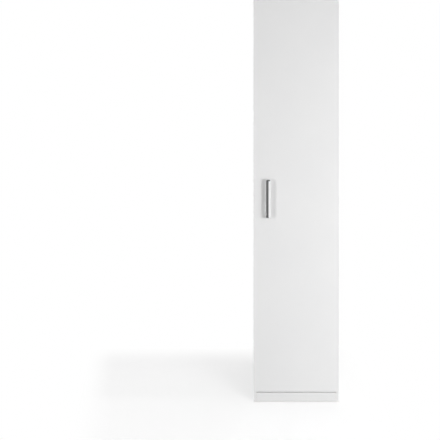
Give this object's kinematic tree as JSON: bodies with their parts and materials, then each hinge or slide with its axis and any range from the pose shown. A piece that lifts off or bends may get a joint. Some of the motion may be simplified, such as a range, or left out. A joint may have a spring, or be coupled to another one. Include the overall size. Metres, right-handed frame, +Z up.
{
  "type": "tall storage cabinet",
  "caption": "Tall narrow cabinet with a full-height hinged door, bow handle, flush plinth and inner shelves on pins.",
  "frame": {"origin": "on the floor, in the middle of the cabinet's bounding box, handle included", "axes": "+X to the right and -Y out of the front as one faces the door, +Y to the wall, +Z up"},
  "size_m": [0.5, 0.6086, 2.36],
  "materials": {
    "white_board": "white melamine-faced chipboard, satin",
    "white_hardboard": "white-faced hardboard, satin",
    "bright_chrome": "polished",
    "nickel_steel": "nickel-plated steel, satin",
    "white_plastic": "matt",
    "clear_rubber": "soft, translucent"
  },
  "bodies": {
    "carcass": {"side_panel_left": "white_board", "side_panel_right": "white_board", "top_panel": "white_board", "bottom_panel": "white_board", "middle_shelf": "white_board", "plinth_front": "white_board", "plinth_rear": "white_board", "back_panel_lower": "white_hardboard", "back_panel_upper": "white_hardboard", "back_panel_joiner": "white_plastic", "shelf_1": "white_board", "shelf_2": "white_board", "shelf_3": "white_board", "shelf_4": "white_board", "shelf_1_pin_front_left": "nickel_steel", "shelf_1_pin_front_right": "nickel_steel", "shelf_1_pin_rear_left": "nickel_steel", "shelf_1_pin_rear_right": "nickel_steel", "shelf_2_pin_front_left": "nickel_steel", "shelf_2_pin_front_right": "nickel_steel", "shelf_2_pin_rear_left": "nickel_steel", "shelf_2_pin_rear_right": "nickel_steel", "shelf_3_pin_front_left": "nickel_steel", "shelf_3_pin_front_right": "nickel_steel", "shelf_3_pin_rear_left": "nickel_steel", "shelf_3_pin_rear_right": "nickel_steel", "shelf_4_pin_front_left": "nickel_steel", "shelf_4_pin_front_right": "nickel_steel", "shelf_4_pin_rear_left": "nickel_steel", "shelf_4_pin_rear_right": "nickel_steel", "floor_glide_front_left": "white_plastic", "floor_glide_front_right": "white_plastic", "floor_glide_rear_left": "white_plastic", "floor_glide_rear_right": "white_plastic", "hinge_1_arm": "nickel_steel", "hinge_1_plate": "nickel_steel", "hinge_2_arm": "nickel_steel", "hinge_2_plate": "nickel_steel", "hinge_3_arm": "nickel_steel", "hinge_3_plate": "nickel_steel", "hinge_4_arm": "nickel_steel", "hinge_4_plate": "nickel_steel"},
    "hinge_inner_links": {"hinge_1_inner_link": "nickel_steel", "hinge_2_inner_link": "nickel_steel", "hinge_3_inner_link": "nickel_steel", "hinge_4_inner_link": "nickel_steel"},
    "hinge_outer_links": {"hinge_1_outer_link": "nickel_steel", "hinge_2_outer_link": "nickel_steel", "hinge_3_outer_link": "nickel_steel", "hinge_4_outer_link": "nickel_steel"},
    "door": {"door_panel": "white_board", "door_bumper_lower": "clear_rubber", "door_bumper_upper": "clear_rubber", "handle": "bright_chrome", "handle_screw_lower": "nickel_steel", "handle_screw_upper": "nickel_steel", "hinge_1_cup": "nickel_steel", "hinge_2_cup": "nickel_steel", "hinge_3_cup": "nickel_steel", "hinge_4_cup": "nickel_steel"}
  },
  "joints": [
    {"name": "inner_link_swing", "type": "hinge", "parent": "carcass", "child": "hinge_inner_links", "pos_m": [0.226, -0.24675, 1.2], "axis": [0, 0, -1], "range_deg": [0, 47.5]},
    {"name": "door_swing", "type": "hinge", "parent": "hinge_inner_links", "child": "door", "pos_m": [0.24, -0.26175, 1.2], "axis": [0, 0, 1], "range_deg": [0, 142.5]},
    {"name": "outer_link_swing", "type": "hinge", "parent": "carcass", "child": "hinge_outer_links", "pos_m": [0.221, -0.25425, 1.2], "axis": [0, 0, -1], "range_deg": [0, 53.2]}
  ],
  "couplings": [
    {"joint": "inner_link_swing", "follows": "door_swing", "ratio": 0.33333},
    {"joint": "outer_link_swing", "follows": "door_swing", "ratio": 0.37333}
  ]
}
